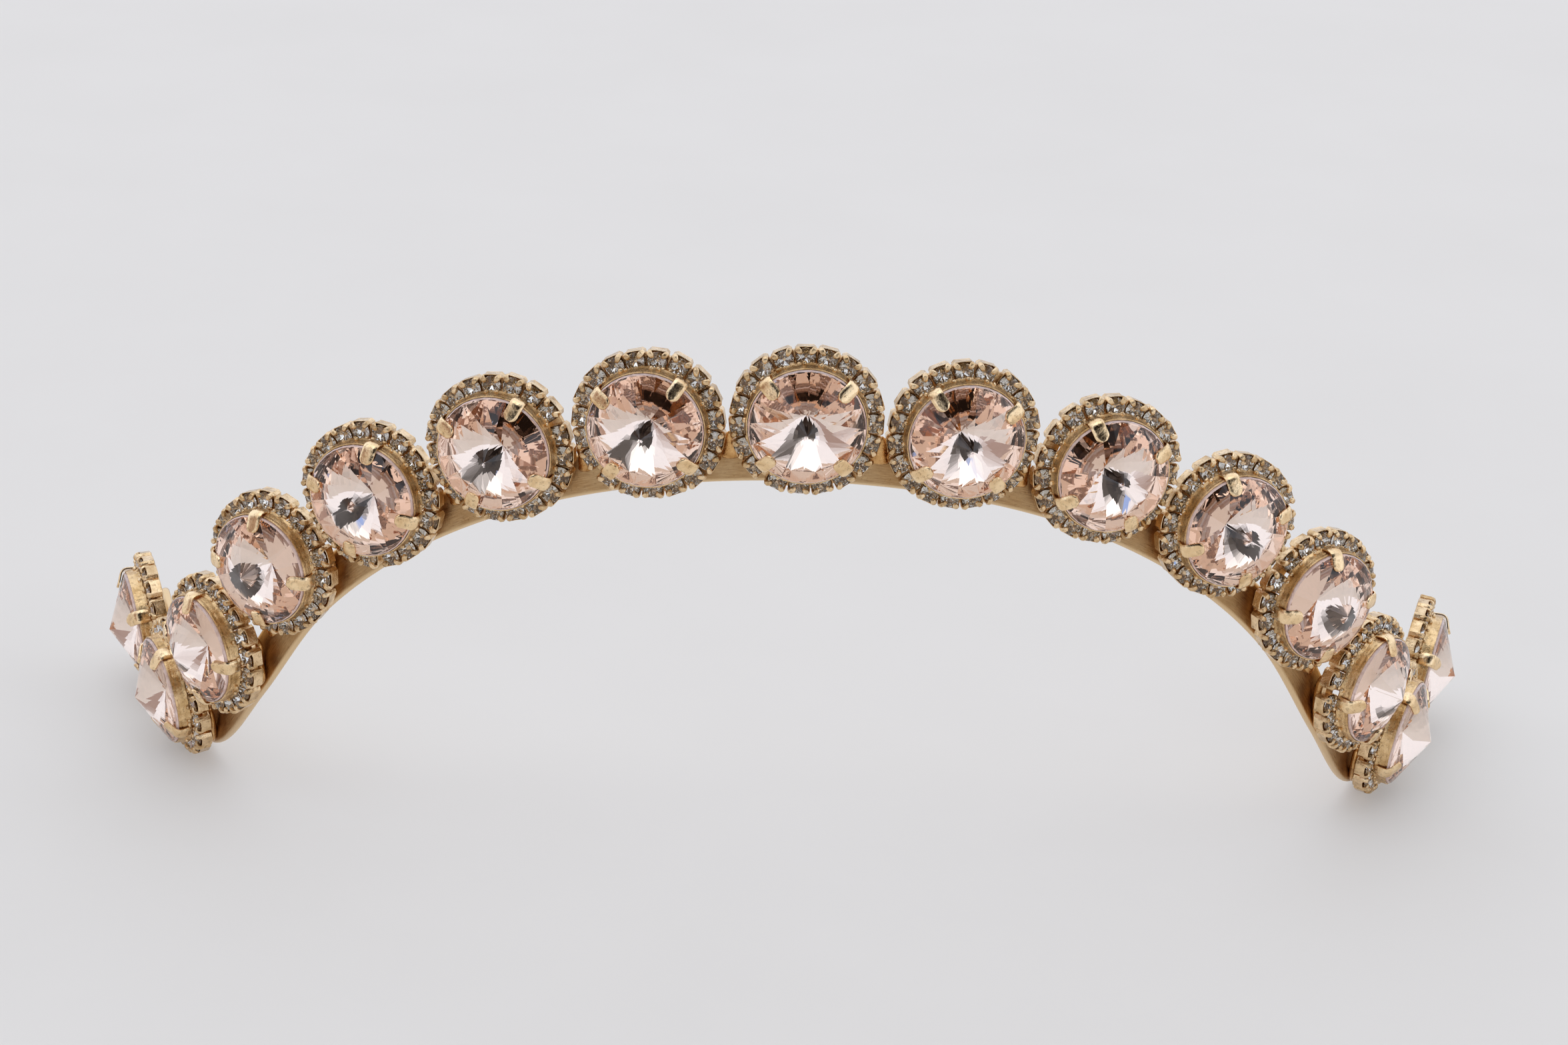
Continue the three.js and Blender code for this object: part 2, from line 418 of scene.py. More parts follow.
CRYSTAL_FACETS = 16
CUT_R = 5.88  # the CAD crystal's radius is 6, and the setting's lip hides the rest of it
FRONT_BREAK_R = 5.3  # where the long facets give way to the short ones
BACK_BREAK_R = 5.5
BEVEL_R = 5.77  # inner edge of the polished bevel round the girdle
BEVEL_HEIGHT = 0.14
CONE_SWELL = 0.03  # how far the short facets stand above the cone
GLASS_SLOT, FOIL_SLOT, GIRDLE_SLOT = 0, 1, 2  # a stone's materials


def crystal_half(shape, flower, turn, front):
    """One side of a pointed round crystal: long facets from the apex, short ones at the rim."""
    n = CRYSTAL_FACETS
    step = 2 * math.pi / n
    up = 1 if front else -1
    apex = FRONT_APEX if front else BACK_APEX
    rim_r, rim_z = (BEVEL_R, GIRDLE_TOP + BEVEL_HEIGHT) if front else (CUT_R, GIRDLE_BOTTOM)
    break_r = FRONT_BREAK_R if front else BACK_BREAK_R
    share = 1 - break_r / rim_r
    break_z = rim_z + (apex - rim_z) * share + up * CONE_SWELL
    points = [(0, 0, apex)]
    points += [polar(break_r, turn + (i + 0.5) * step, break_z) for i in range(n)]
    points += [polar(rim_r, turn + i * step / 2, rim_z) for i in range(2 * n)]
    middle, rim = 1, 1 + n
    faces = []
    for i in range(n):
        before = middle + (i - 1) % n
        on, between, after = rim + 2 * i, rim + 2 * i + 1, rim + (2 * i + 2) % (2 * n)
        faces += [[0, before, on, middle + i], [middle + i, on, between], [middle + i, between, after]]
    if front:
        shape.add(place(points, flower), faces, GLASS_SLOT)
    else:
        shape.add(place(points, flower), flipped(faces), FOIL_SLOT)


def crystal_shape(shape, flower, turn):
    """Both sides of the crystal, and the girdle and bevel between them."""
    crystal_half(shape, flower, turn, True)
    crystal_half(shape, flower, turn, False)
    around = 2 * CRYSTAL_FACETS
    rim = ((BEVEL_R, GIRDLE_TOP + BEVEL_HEIGHT), (CUT_R, GIRDLE_TOP), (CUT_R, GIRDLE_BOTTOM))
    points = []
    for radius, z in rim:
        points += [polar(radius, turn + i * 2 * math.pi / around, z) for i in range(around)]
    shape.add(place(points, flower), flipped(ring_faces(len(rim), around)), GIRDLE_SLOT)


STONE_R = 0.98
STONE_CROWN = 0.3
STONE_PAVILION = 0.72
STONE_GIRDLE_HALF = 0.03
STONE_GIRDLE_Z = -0.3  # below the halo's front face
# The facets' corners: radius as a share of the stone's, height as a share of crown or pavilion.
STONE_TABLE = 0.52
STONE_CROWN_BREAK = (0.77, 0.52)
STONE_PAVILION_BREAK = (0.42, 0.56)


def stone_template():
    """A small round brilliant, girdle at height 0: its points, faces and slots."""
    eighth = math.pi / 4
    crown_r, crown_z = STONE_CROWN_BREAK
    lower_r, lower_z = STONE_PAVILION_BREAK
    points = [polar(STONE_R * STONE_TABLE, i * eighth, STONE_CROWN) for i in range(8)]
    points += [polar(STONE_R * crown_r, (i + 0.5) * eighth, STONE_CROWN * crown_z) for i in range(8)]
    points += [polar(STONE_R, i * eighth / 2, STONE_GIRDLE_HALF) for i in range(16)]
    points += [polar(STONE_R, i * eighth / 2, -STONE_GIRDLE_HALF) for i in range(16)]
    points += [polar(STONE_R * lower_r, (i + 0.5) * eighth, -STONE_PAVILION * lower_z) for i in range(8)]
    points.append((0, 0, -STONE_PAVILION))
    table, crown, top, bottom, lower, culet = 0, 8, 16, 32, 48, 56
    faces = [list(range(8))]
    slots = [GLASS_SLOT]
    for i in range(8):
        j, before = (i + 1) % 8, (i - 1) % 8
        on, between, after = 2 * i, 2 * i + 1, (2 * i + 2) % 16
        faces += [
            [table + i, crown + i, table + j],
            [table + i, crown + before, top + on, crown + i],
            [crown + i, top + on, top + between],
            [crown + i, top + between, top + after],
            [culet, lower + i, bottom + on, lower + before],
            [lower + i, bottom + between, bottom + on],
            [lower + i, bottom + after, bottom + between],
        ]
        slots += [GLASS_SLOT] * 4 + [FOIL_SLOT] * 3
    for i in range(16):
        j = (i + 1) % 16
        faces.append([top + i, bottom + i, bottom + j, top + j])
        slots.append(GLASS_SLOT)
    return np.array(points), faces, slots


DROP_AROUND = 10
DROP_ROWS = 7


def blob(centre, sizes, random):
    """A lumpy closed drop."""
    phases = random.uniform(0, 2 * math.pi, 4)  # four are drawn, and the lumps use two
    points = [(0, 0, -1.0)]
    for row in range(1, DROP_ROWS):
        tip = math.pi * row / DROP_ROWS
        for a in range(DROP_AROUND):
            angle = 2 * math.pi * a / DROP_AROUND
            lump = 1 + 0.12 * math.sin(2 * angle + phases[0]) * math.sin(tip)
            lump += 0.1 * math.sin(3 * angle + 2 * tip + phases[1]) * math.sin(tip)
            reach = lump * math.sin(tip)
            points.append((reach * math.cos(angle), reach * math.sin(angle), -math.cos(tip)))
    points.append((0, 0, 1.0))
    last = len(points) - 1
    faces = [[1 + i for i in face] for face in ring_faces(DROP_ROWS - 1, DROP_AROUND)]
    for a in range(DROP_AROUND):
        b = (a + 1) % DROP_AROUND
        faces.append([0, 1 + b, 1 + a])
        faces.append([last, last - DROP_AROUND + a, last - DROP_AROUND + b])
    return np.array(points) * sizes + centre, faces


# ---------------------------------------------------------------- halo cups

HALO_CUPS = 19
CUP_HALF = 1.06
CUP_BASE_HALF = 1.0
CUP_CORNER = 0.34
CUP_WALL_TOP = -0.42
CUP_WALL = 0.15
CUP_SPLAY = 0.1  # the cups are pressed wider towards the outside of the ring
CUP_RING_R = HALO_OUTER_R - CUP_HALF - 0.13
CUP_VARIANTS = 6
CUP_OUTLINE = (  # half width, cut corner, height, and dip of the sides: up the outside, down the inside
    (CUP_BASE_HALF - 0.1, 0.24, -HALO_DEPTH, 0.0),
    (CUP_BASE_HALF, 0.28, -HALO_DEPTH + 0.1, 0.0),
    (CUP_HALF - 0.03, CUP_CORNER, CUP_WALL_TOP - 0.3, 0.0),
    (CUP_HALF, CUP_CORNER, CUP_WALL_TOP - 0.16, 0.04),
    (CUP_HALF, CUP_CORNER, CUP_WALL_TOP, 0.1),
    (CUP_HALF - 0.05, CUP_CORNER, CUP_WALL_TOP + 0.05, 0.12),
    (CUP_HALF - CUP_WALL, CUP_CORNER * 0.8, CUP_WALL_TOP, 0.12),
    (CUP_HALF - CUP_WALL - 0.02, CUP_CORNER * 0.8, CUP_WALL_TOP - 0.4, 0.0),
    (CUP_BASE_HALF - 0.25, 0.2, -HALO_DEPTH + 0.3, 0.0),
)
# The strip that links the cups: radius and height.
HALO_WEB = ((5.75, -1.5), (7.2, -1.5), (7.3, -1.35), (7.25, -0.95), (5.7, -0.9))


def square_ring(half, corner, z, dip):
    """A square outline with cut corners, whose sides dip in their middles."""
    inner = half - corner
    low = inner * 0.45
    side = [(half, -inner, z), (half, -low, z - dip), (half, low, z - dip), (half, inner, z)]
    points = []
    for quarter in range(4):
        angle = quarter * math.pi / 2
        c, s = math.cos(angle), math.sin(angle)
        points += [(c * x - s * y, s * x + c * y, h) for x, y, h in side]
    return points


def cup_body():
    """The open square box that holds a stone, with its raised lip."""
    rings = [square_ring(*ring) for ring in CUP_OUTLINE]
    return np.concatenate(rings), capped_faces(len(rings), len(rings[0]))


def tube(path, radii, sides, flatten, side_axis):
    """A closed rounded finger along a path, each ring an ellipse of that radius."""
    path = np.asarray(path, float)
    points = []
    for i, (centre, radius) in enumerate(zip(path, radii)):
        ahead = path[min(i + 1, len(path) - 1)] - path[max(i - 1, 0)]
        direction = unit(ahead)
        wide = unit(side_axis - (side_axis @ direction) * direction)
        thick = np.cross(direction, wide)
        for s in range(sides):
            angle = 2 * math.pi * s / sides
            points.append(centre + radius * (math.cos(angle) * wide + flatten * math.sin(angle) * thick))
    return np.array(points), capped_faces(len(path), sides)


CUP_PRONG_INSET = 0.25
CUP_PRONG_SIDES = 8
CUP_PRONG_FLATTEN = 0.72
CUP_PRONG_BEND = 0.1
CUP_PRONG_SLANT = 0.1
# How far outwards, how high and how wide the prong is, from its foot to its bend.
CUP_PRONG_FOOT = [(0.0, -0.95, 0.18), (0.02, -0.6, 0.24), (0.0, -0.3, 0.29), (-CUP_PRONG_BEND, -0.1, 0.31)]
# The ranges of a prong's reach over the stone and of its bead's radius.
OUTER_PRONG = ((0.36, 0.5), (0.22, 0.27))
INNER_PRONG = ((0.22, 0.34), (0.18, 0.23))


def cup_prong(corner_x, corner_y, random):
    """A corner finger that bends over the stone and ends in a bead."""
    corner = np.array([corner_x, corner_y, 0.0])
    outward = unit(corner)
    sideways = np.array([-outward[1], outward[0], 0.0])
    reaches, beads = OUTER_PRONG if corner_y > 0 else INNER_PRONG
    reach = random.uniform(*reaches)
    bead = random.uniform(*beads)
    slant = random.uniform(-CUP_PRONG_SLANT, CUP_PRONG_SLANT)
    steps = CUP_PRONG_FOOT + [
        (-CUP_PRONG_BEND - reach * 0.4, -0.03, 0.29),
        (-CUP_PRONG_BEND - reach * 0.8, -0.05, bead),
        (-CUP_PRONG_BEND - reach, -0.1, bead * 0.86),
        (-CUP_PRONG_BEND - reach * 1.18, -0.17, bead * 0.45),
    ]
    path = []
    for out, z, _ in steps:
        path.append(corner + outward * out + sideways * slant * max(0.0, -out) + np.array([0, 0, z]))
    return tube(path, [wide for _, _, wide in steps], CUP_PRONG_SIDES, CUP_PRONG_FLATTEN, sideways)


def cup_template(seed):
    """One halo cup with its four prongs, x along the ring, y outwards, z to the front."""
    random = np.random.default_rng(seed)
    shape = Shape()
    shape.add(*cup_body())
    at = CUP_HALF - CUP_PRONG_INSET
    for x, y in ((1, 1), (-1, 1), (-1, -1), (1, -1)):
        shape.add(*cup_prong(x * at, y * at, random))
    points = np.concatenate(shape.points)
    points[:, 0] *= 1 + CUP_SPLAY * points[:, 1]
    return points, shape.faces


CUP_TEMPLATES = [cup_template(seed) for seed in range(CUP_VARIANTS)]
STONE_TEMPLATE = stone_template()

HALO_SEED = 300
CHAIN_GAP = math.radians(4)  # where the chain's two ends meet
RING_SQUARENESS = (0.09, 0.15)
CUP_SHIFT = 0.03
CUP_TILT = 0.04
CUP_TWIST = 0.05
STONE_TILT = 0.08
# Small drops of melted gold between the cups and the crystal's setting.
DROPS = 26
DROP_RING = (6.08, 6.22)
DROP_HEIGHTS = (0.12, 0.42)
DROP_RADII = (0.16, 0.32)
DROP_STRETCH = (0.8, 1.2)


def halo_pieces(number, flower):
    """The halo's square cups with their links and drops, and the stone in each cup."""
    random = np.random.default_rng(HALO_SEED + number)
    cups, stones = Shape(), Shape()
    start = random.uniform(0, 2 * math.pi)
    corners = random.uniform(*RING_SQUARENESS)
    step = (2 * math.pi - CHAIN_GAP) / HALO_CUPS
    for i in range(HALO_CUPS):
        angle = start + i * step
        # The chain goes round the prongs, which makes its ring a little square.
        radius = CUP_RING_R + corners * (1 - math.cos(4 * angle)) + random.uniform(-CUP_SHIFT, CUP_SHIFT)
        tilt = random.uniform(-CUP_TILT, CUP_TILT)
        twist = random.uniform(-CUP_TWIST, CUP_TWIST)
        lift = random.uniform(-CUP_SHIFT, 0.0)

        def on_ring(points):
            moved = turned_about(turned_about(points, "z", twist), "x", tilt)
            moved = moved + np.array([0, radius, lift])
            return place(turned_about(moved, "z", angle - math.pi / 2), flower)

        points, faces = CUP_TEMPLATES[random.integers(len(CUP_TEMPLATES))]
        cups.add(on_ring(points), faces)
        points, faces, slots = STONE_TEMPLATE
        points = turned_about(points, "z", random.uniform(0, math.pi / 4))
        points = turned_about(points, "x", random.uniform(-STONE_TILT, STONE_TILT))
        points = turned_about(points, "y", random.uniform(-STONE_TILT, STONE_TILT))
        stones.add(on_ring(points + np.array([0, 0, STONE_GIRDLE_Z])), faces, slots)
    web, faces = turned(HALO_WEB, 4 * HALO_CUPS)
    cups.add(place(web, flower), faces)
    for i in range(DROPS):
        angle = 2 * math.pi * (i + random.uniform(-0.4, 0.4)) / DROPS
        centre = np.array(polar(random.uniform(*DROP_RING), angle, random.uniform(*DROP_HEIGHTS)))
        wide = random.uniform(*DROP_RADII)
        sizes = np.array([wide, wide * random.uniform(*DROP_STRETCH), wide])
        drop, faces = blob(centre, sizes, random)
        cups.add(place(drop, flower), faces)
    cup_piece = cups.piece(f"halo_{number:02d}_cups", [CUP_GOLD], smooth_angle=40)
    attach(cup_piece, "root")
    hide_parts(f"halo_{number:02d}")
    stone_piece = stones.piece(f"halo_{number:02d}_stones", [STONE_GLASS, STONE_FOIL])
    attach(stone_piece, "root")


# ---------------------------------------------------------------- crystal settings

SETTING_SEED = 500
CRYSTAL_SEED = 700
SETTING_SIDES = 144
LIP_WAVE = 0.07
LIP_LIFT = 0.12
PRONG_WIDTH = 1.48
PRONG_THICKNESS = 0.3
PRONG_UNDERSIDE = 0.02
PRONG_ACROSS = 9  # points across each face of a prong
PRONG_STEPS = 12
PRONG_END_STEPS = 7
PRONG_END_ANGLES = (78, 10)  # degrees round the end, from its sides to its tip
PRONG_END_POWER = 0.85  # makes the round end a little blunter than a half circle
PRONG_TURN = 2  # degrees by which a prong may stand off its place
PRONG_SLOT = 1  # the prongs' place among the setting's materials
PRONG_PATH = (  # radius and height of the prong's underside, from the lip to the tip
    (6.08, 0.30), (6.16, 0.75), (6.2, 1.2), (6.16, 1.5), (6.0, 1.74), (5.75, 1.86), (5.4, 2.0),
    (5.1, 2.13), (4.85, 2.25), (4.62, 2.36), (4.44, 2.45), (4.36, 2.49),
)
SETTING_OUTLINE = (  # radius and height, anticlockwise
    (0.02, -2.1), (1.6, -2.1), (2.3, -1.95), (3.0, -1.2), (4.2, -0.6), (5.4, -0.3), (5.75, -0.15),
    (6.14, 0.02), (6.2, 0.14), (6.1, 0.34), (6.04, 0.55), (6.07, 0.8), (6.03, 1.0), (6.02, 1.16),
    (6.06, 1.3), (6.02, 1.46), (5.92, 1.46), (5.895, 1.3), (5.6, 0.9), (4.2, 0.2), (2.4, -0.6),
    (0.02, -1.7),
)
SETTING_LIP = range(6, 14)  # the outline's points that the uneven lip moves


def prong_stations(half):
    """Points along the prong's path with half widths: straight sides, then a round end."""
    path = np.array(PRONG_PATH)
    run = np.concatenate([[0], np.cumsum(np.linalg.norm(np.diff(path, axis=0), axis=1))])
    straight = np.linspace(0, run[-1] - half, PRONG_STEPS)
    turns = np.radians(np.linspace(*PRONG_END_ANGLES, PRONG_END_STEPS))
    places = np.concatenate([straight, run[-1] - half * (1 - np.cos(turns))])
    widths = np.concatenate([np.full(len(straight), half), half * np.sin(turns) ** PRONG_END_POWER])
    points = np.stack([np.interp(places, run, column) for column in path.T], axis=1)
    return points, widths


def flat_prong(shape, angle, random):
    """A flat tongue with a round end, folded over the crystal's crown."""
    path, widths = prong_stations(PRONG_WIDTH / 2 * random.uniform(0.95, 1.03))
    count = len(path)
    rings = []
    for i in range(count):
        tangent = unit(path[min(i + 1, count - 1)] - path[max(i - 1, 0)])
        normal = np.array([tangent[1], -tangent[0]])
        worn = 0.7 if i == count - 1 else 1.0
        for w in np.linspace(-1, 1, PRONG_ACROSS):
            # The face is slightly crowned, and rounded off at its two edges.
            edge = PRONG_THICKNESS * worn * (1 - 0.18 * w * w - 0.35 * abs(w) ** 7)
            r, z = path[i] + normal * edge
            rings.append((r, w * widths[i], z))
        for w in np.linspace(1, -1, PRONG_ACROSS):
            r, z = path[i] + normal * PRONG_UNDERSIDE
            rings.append((r, w * widths[i], z))
    shape.add(turned_about(np.array(rings), "z", angle), capped_faces(count, 2 * PRONG_ACROSS))


def setting_piece(number, flower):
    """The pressed cup behind a crystal, its uneven lip and its four prongs."""
    random = np.random.default_rng(SETTING_SEED + number)
    phases = random.uniform(0, 2 * math.pi, 8)

    def wobble(angle, i):
        if i not in SETTING_LIP:
            return 0, 0
        wave = sum(math.sin(angle * f + p) for f, p in zip((9, 19, 31, 38), phases)) / 4
        lift = sum(math.sin(angle * f + p) for f, p in zip((11, 19, 27, 43), phases[4:])) / 4
        return LIP_WAVE * wave, LIP_LIFT * lift

    shape = Shape()
    points, faces = turned(SETTING_OUTLINE, SETTING_SIDES, wobble)
    shape.add(place(points, flower), faces)
    prongs = Shape()
    for degrees in PRONG_ANGLES:
        flat_prong(prongs, math.radians(degrees + random.uniform(-PRONG_TURN, PRONG_TURN)), random)
    shape.add(place(np.concatenate(prongs.points), flower), prongs.faces, PRONG_SLOT)
    name = f"setting_{number:02d}_cup_and_prongs"
    piece = shape.piece(name, [SETTING_GOLD, PRONG_GOLD], smooth_angle=50)
    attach(piece, "root")
    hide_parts(f"setting_{number:02d}")


def crystal_piece(number, flower):
    random = np.random.default_rng(CRYSTAL_SEED + number)
    shape = Shape()
    crystal_shape(shape, flower, random.uniform(0, 2 * math.pi / CRYSTAL_FACETS))
    piece = shape.piece(f"crystal_{number:02d}_cut", [BLUSH_GLASS, BLUSH_FOIL, BLUSH_GIRDLE], weld=True)
    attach(piece, "root")
    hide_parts(f"crystal_{number:02d}")


# ---------------------------------------------------------------- headband

BAND_STEPS = 14  # sections between two neighbouring flowers
BAND_EDGE = 0.42  # the rolled lower and upper edges
EDGE_STEPS = 5
TIP_ROUND = 2.0  # length over which the band rounds off at each end
TIP_LEAST = 0.02  # keeps the end sections from closing to a point
TIP_SEARCH = 16  # how far round the last flower the band's end is looked for
TIP_SLICE = 0.3  # how much of that end is taken for its tip


def catmull(p0, p1, p2, p3, t):
    """A point on the smooth curve that runs from p1 to p2."""
    straight = 2 * p1 + (p2 - p0) * t
    bend = (2 * p0 - 5 * p1 + 4 * p2 - p3) * t * t
    return 0.5 * (straight + bend + (3 * p1 - p0 - 3 * p2 + p3) * t ** 3)


def tip_frame(end, inner):
    """The band's end section beyond the last flower, from the CAD headband's farthest points."""
    origin, along, across, out = FRAMES[end]
    sign = 1 if end > inner else -1
    points = node_points("headband")
    near = points[np.linalg.norm(points - origin, axis=1) < TIP_SEARCH]
    reach = (near - origin) @ (along * sign)
    tip = near[reach > reach.max() - TIP_SLICE].mean(0)
    moved = tip + across * BAND_DROP - out * BAND_MIDDLE
    return (moved, along, across, out)


def band_sections():
    """Smooth frames along the whole band, from tip to tip."""
    frames = [tip_frame(0, 1), *FRAMES, tip_frame(FLOWERS - 1, FLOWERS - 2)]
    table = np.array([[f[0], f[2], f[3]] for f in frames])
    first = 2 * table[0] - table[1]
    last = 2 * table[-1] - table[-2]
    table = np.concatenate([[first], table, [last]])
    sections = []
    spans = len(table) - 3
    for i in range(1, spans + 1):
        for s in range(BAND_STEPS):
            t = s / BAND_STEPS
            if i == 1:  # the rounded tips need closer sections
                t = t ** 2
            elif i == spans:
                t = 1 - (1 - t) ** 2
            sections.append(catmull(*table[i - 1:i + 3], t))
    sections.append(table[-2])
    return [(origin, unit(across), unit(out)) for origin, across, out in sections]


BAND_SECTIONS = band_sections()


def band_outline(half):
    """The band's section, (across, out), anticlockwise seen along the band, edges rounded."""
    thick = BAND_THICKNESS
    edge = min(BAND_EDGE, half * 0.8)
    side = []
    for i in range(EDGE_STEPS + 1):
        angle = math.pi / 2 * i / EDGE_STEPS
        side.append((half - edge + edge * math.sin(angle), thick / 2 * math.cos(angle)))
    upper = side + [(y, -z) for y, z in side[-2::-1]]
    lower = [(-y, -z) for y, z in upper]
    middle_front = [(-(half - edge) * f, thick / 2) for f in (0.6, 0.2, -0.2, -0.6)]
    middle_back = [(-y, -z) for y, z in middle_front]
    return upper + middle_back + lower + middle_front


def band_piece():
    centres = np.array([o - a * BAND_DROP + n * BAND_MIDDLE for o, a, n in BAND_SECTIONS])
    lengths = np.concatenate([[0], np.cumsum(np.linalg.norm(np.diff(centres, axis=0), axis=1))])
    points, uvs = [], []
    for (_, across, out), centre, length in zip(BAND_SECTIONS, centres, lengths):
        to_end = min(length, lengths[-1] - length)
        half = BAND_WIDTH / 2 * math.sqrt(max(TIP_LEAST, 1 - max(0.0, 1 - to_end / TIP_ROUND) ** 2))
        for y, z in band_outline(half):
            points.append(centre + across * y + out * z)
            uvs.append((length, y))
    shape = Shape()
    shape.add(points, capped_faces(len(centres), len(points) // len(centres)))
    piece = shape.piece("headband_strip", [BAND_GOLD], smooth_angle=60)
    layer = piece.data.uv_layers.new(name="along")
    for loop in piece.data.loops:
        layer.data[loop.index].uv = uvs[loop.vertex_index]
    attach(piece, "root")
    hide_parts("headband")


# ---------------------------------------------------------------- solder

SOLDER_SEED = 900
SOLDER_R = 6.4
SOLDER_FROM, SOLDER_TO = 203, 337  # degrees round the halo, where the band runs behind it
SOLDER_MIDDLE = (BAND_FACE - HALO_DEPTH) / 2
SOLDER_WIDTH = 0.66
SOLDER_HEIGHT = 0.56
SOLDER_STEPS = 40
SOLDER_SIDES = 12
FLOWER_PITCH = 15.8  # between the centres of two neighbouring crystals
BRIDGE_LOW, BRIDGE_HIGH = -4.7, -1.6  # across the band, from the line of crystal centres
BRIDGE_LEAN = 0.2
BRIDGE_CORE = 0.3
BRIDGE_FILL = (0.35, 0.75)  # share of the room between two halos that the solder fills
BRIDGE_STEPS = 15
BRIDGE_SIDES = 14
BRIDGE_FLATTEN = 0.42
ALONG = np.array([1.0, 0.0, 0.0])


def solder_bridge(shape, number, phases, fill):
    """Solder from the band up between two halos, which fills the space their sides leave."""
    origin, across, out = BAND_SECTIONS[number * BAND_STEPS + BAND_STEPS // 2]
    height = np.linspace(BRIDGE_LOW, BRIDGE_HIGH, BRIDGE_STEPS)
    room = FLOWER_PITCH / 2 - np.sqrt(HALO_OUTER_R ** 2 - height ** 2)
    lumps = 1 + 0.08 * np.sin(height * 2.6 + phases[4]) + 0.06 * np.sin(height * 5.7 + phases[5])
    ends = np.sqrt(np.maximum(0.02, 1 - np.linspace(-1, 1, BRIDGE_STEPS) ** 6))
    lean = BAND_FACE + BRIDGE_LEAN * (height - BRIDGE_LOW)
    path = np.stack([np.zeros(BRIDGE_STEPS), height, lean], axis=1)
    widths = (BRIDGE_CORE + fill * room) * lumps * ends
    bridge, faces = tube(path, widths, BRIDGE_SIDES, BRIDGE_FLATTEN, ALONG)
    shape.add(place(bridge, (origin, np.cross(across, out), across, out)), faces)


def solder_piece(number, flower):
    """Solder between the halo's back and the band, and the bridge to the next flower."""
    random = np.random.default_rng(SOLDER_SEED + number)
    phases = random.uniform(0, 2 * math.pi, 6)
    points = []
    for i in range(SOLDER_STEPS + 1):
        share = i / SOLDER_STEPS
        angle = math.radians(SOLDER_FROM + (SOLDER_TO - SOLDER_FROM) * share)
        end = math.sqrt(max(0.03, 1 - (2 * share - 1) ** 8))
        swell = 0.14 * math.sin(9 * share * math.pi + phases[0])
        width = (SOLDER_WIDTH + swell + 0.1 * math.sin(23 * share + phases[1])) * end
        height = (SOLDER_HEIGHT + 0.08 * math.sin(13 * share + phases[2])) * end
        radius = SOLDER_R + 0.12 * math.sin(7 * share * math.pi + phases[3])
        for a in range(SOLDER_SIDES):
            turn = 2 * math.pi * a / SOLDER_SIDES
            z = SOLDER_MIDDLE + height * math.sin(turn)
            points.append(polar(radius + width * math.cos(turn), angle, z))
    shape = Shape()
    shape.add(place(points, flower), flipped(capped_faces(SOLDER_STEPS + 1, SOLDER_SIDES)))
    if number < FLOWERS:
        solder_bridge(shape, number, phases, random.uniform(*BRIDGE_FILL))
    # Its gold is darkened and warmed as painted shade.
    piece = shape.piece(f"solder_{number:02d}", [SHADED_SOLDER_GOLD], smooth_angle=80)
    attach(piece, "root")


band_piece()
for number, flower in enumerate(FRAMES, start=1):
    crystal_piece(number, flower)
    setting_piece(number, flower)
    halo_pieces(number, flower)
    solder_piece(number, flower)


# ---------------------------------------------------------------- floor, light and camera

# How the camera is turned, in degrees, and how far ahead, to the right and above it the front
# flower's origin lies, along the camera's own axes.
CAMERA_ELEVATION = 23.91
CAMERA_YAW = 1.376
CAMERA_ROLL = 2.594
CAMERA_DISTANCE = 408.0
CAMERA_ASIDE = 2.26
CAMERA_ABOVE = 9.92
CAMERA_LENS = 94.9
SENSOR_WIDTH = 36.0
CLIP_NEAR, CLIP_FAR = 0.01, 50.0  # metres


def camera_axes():
    """Right, forward and up of the camera, as rows."""
    yaw, pitch, roll = (math.radians(a) for a in (CAMERA_YAW, CAMERA_ELEVATION, CAMERA_ROLL))
    return rotation("y", roll) @ rotation("x", pitch) @ rotation("z", yaw)


def make_camera():
    axes = camera_axes()
    aim = FRAMES[FRONT_FLOWER - 1][0]
    place_at = aim - axes.T @ np.array([CAMERA_ASIDE, CAMERA_DISTANCE, CAMERA_ABOVE])
    data = bpy.data.cameras.new("camera")
    data.lens = CAMERA_LENS
    data.sensor_width = SENSOR_WIDTH
    data.clip_start, data.clip_end = CLIP_NEAR, CLIP_FAR
    camera = bpy.data.objects.new("camera", data)
    right, forward, up = axes
    matrix = np.eye(4)
    matrix[:3] = np.stack([right, up, -forward, place_at * MM], axis=1)
    camera.matrix_world = Matrix(matrix.tolist())
    bpy.context.scene.collection.objects.link(camera)
    bpy.context.scene.camera = camera


FLOOR_HALF = 6.0  # metres
FLOOR_GLOW = 0.24  # the floor's own light, which keeps its shadows soft


def make_floor():
    """A plain pale floor. Its paint is warm because the light is cool, so that it looks neutral."""
    mesh = bpy.data.meshes.new("floor")
    corners = [(x * FLOOR_HALF, y * FLOOR_HALF, 0) for x, y in ((-1, -1), (1, -1), (1, 1), (-1, 1))]
    mesh.from_pydata(corners, [], [[0, 1, 2, 3]])
    material, tree, shader = new_material("pale floor")
    paint = ramp(tree, noise(tree, 30, 3), (0.3, (0.529, 0.493, 0.450)), (0.7, (0.544, 0.508, 0.465)))
    tree.links.new(paint, shader.inputs["Base Color"])
    shader.inputs["Emission Color"].default_value = (1.0, 1.0, 1.005, 1.0)
    shader.inputs["Emission Strength"].default_value = FLOOR_GLOW
    shader.inputs["Roughness"].default_value = 0.7
    shader.inputs["Specular IOR Level"].default_value = 0.2
    mesh.materials.append(material)
    floor = bpy.data.objects.new("floor", mesh)
    bpy.context.scene.collection.objects.link(floor)


TENT_LIGHT = (0.93, 0.99, 1.12)
ROOF_LIGHT = (1.42, 1.5, 1.62)
TENT_STRENGTH = 1.12
# A place in the tent: azimuth from the front, elevation, half angle and softness, in degrees.
ROOF_PLACE = (0.0, 76.0, 20.0, 7.0)
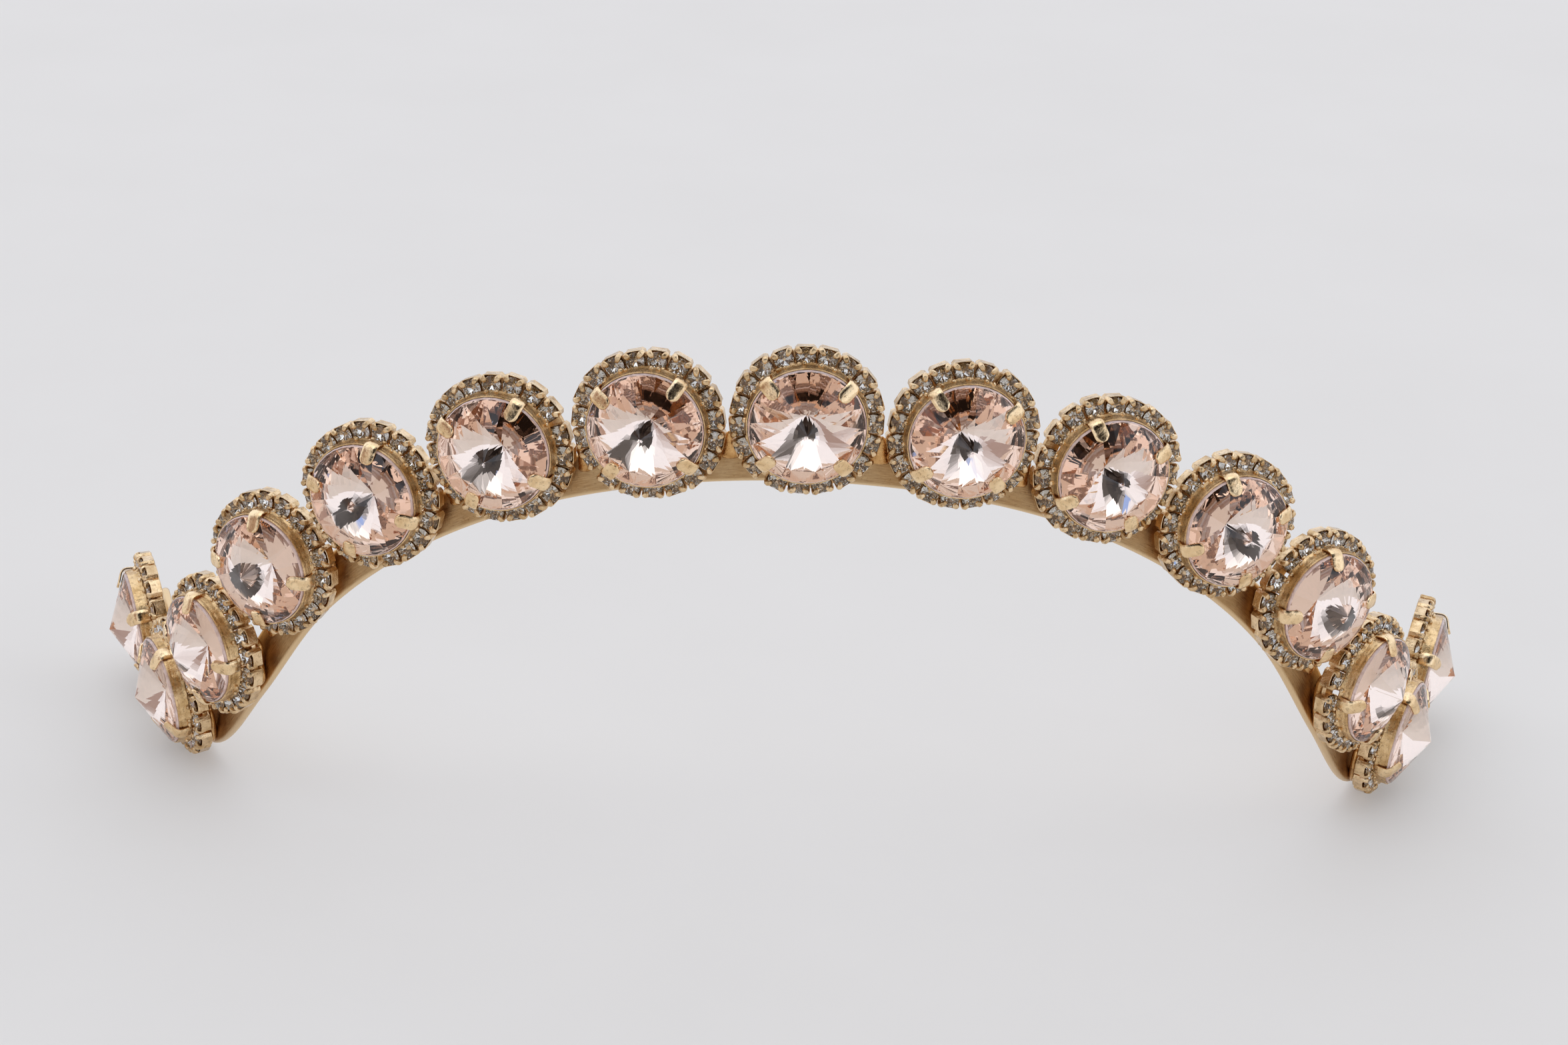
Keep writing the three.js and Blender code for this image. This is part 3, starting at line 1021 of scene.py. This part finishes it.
# Darker and coloured places, with their colours. The first is the opening that the camera looks
# through, and the last is a small blue one.
DARK_PLACES = (
    (4.0, 36.0, 26.0, 4.0, (0.012, 0.009, 0.008)),
    (-66.0, 12.0, 24.0, 10.0, (0.34, 0.25, 0.23)),
    (52.0, 47.0, 15.0, 5.0, (0.05, 0.045, 0.042)),
    (-24.0, 55.0, 4.0, 2.0, (0.30, 0.48, 1.0)),
)


def tent_direction(azimuth, elevation):
    a, e = math.radians(azimuth), math.radians(elevation)
    return (math.sin(a) * math.cos(e), -math.cos(a) * math.cos(e), math.sin(e))


def make_world():
    """A white light tent with dark openings in front, and a stronger light in its roof."""
    world = bpy.data.worlds.new("light tent")
    bpy.context.scene.world = world
    world.use_nodes = True
    tree = world.node_tree
    tree.nodes.clear()
    output = tree.nodes.new("ShaderNodeOutputWorld")
    background = tree.nodes.new("ShaderNodeBackground")
    tree.links.new(background.outputs["Background"], output.inputs["Surface"])
    direction = tree.nodes.new("ShaderNodeTexCoord").outputs["Generated"]

    def patch(azimuth, elevation, half_angle, softness):
        """1 round a direction, falling to 0 across the rim of the half angle."""
        node = tree.nodes.new("ShaderNodeVectorMath")
        node.operation = "DOT_PRODUCT"
        tree.links.new(direction, node.inputs[0])
        node.inputs[1].default_value = tent_direction(azimuth, elevation)
        edge = math.cos(math.radians(half_angle + softness))
        inside = math.cos(math.radians(half_angle - softness))
        return remap(tree, node.outputs["Value"], edge, inside, 0.0, 1.0)

    light = mixed(tree, patch(*ROOF_PLACE), TENT_LIGHT, ROOF_LIGHT)
    for *dark_place, colour in DARK_PLACES:
        light = mixed(tree, patch(*dark_place), light, colour)
    tree.links.new(light, background.inputs["Color"])
    background.inputs["Strength"].default_value = TENT_STRENGTH


GLASS_BOUNCES = 24
MIRROR_BOUNCES = 14


def deepen_glass():
    """Lets light go between a stone's facets more often than Blender does by default."""
    paths = bpy.context.scene.cycles
    paths.max_bounces = GLASS_BOUNCES
    paths.glossy_bounces = MIRROR_BOUNCES
    paths.transmission_bounces = GLASS_BOUNCES


make_camera()
make_floor()
make_world()
deepen_glass()
bpy.context.scene.view_settings.view_transform = "Standard"

bpy.context.view_layer.update()
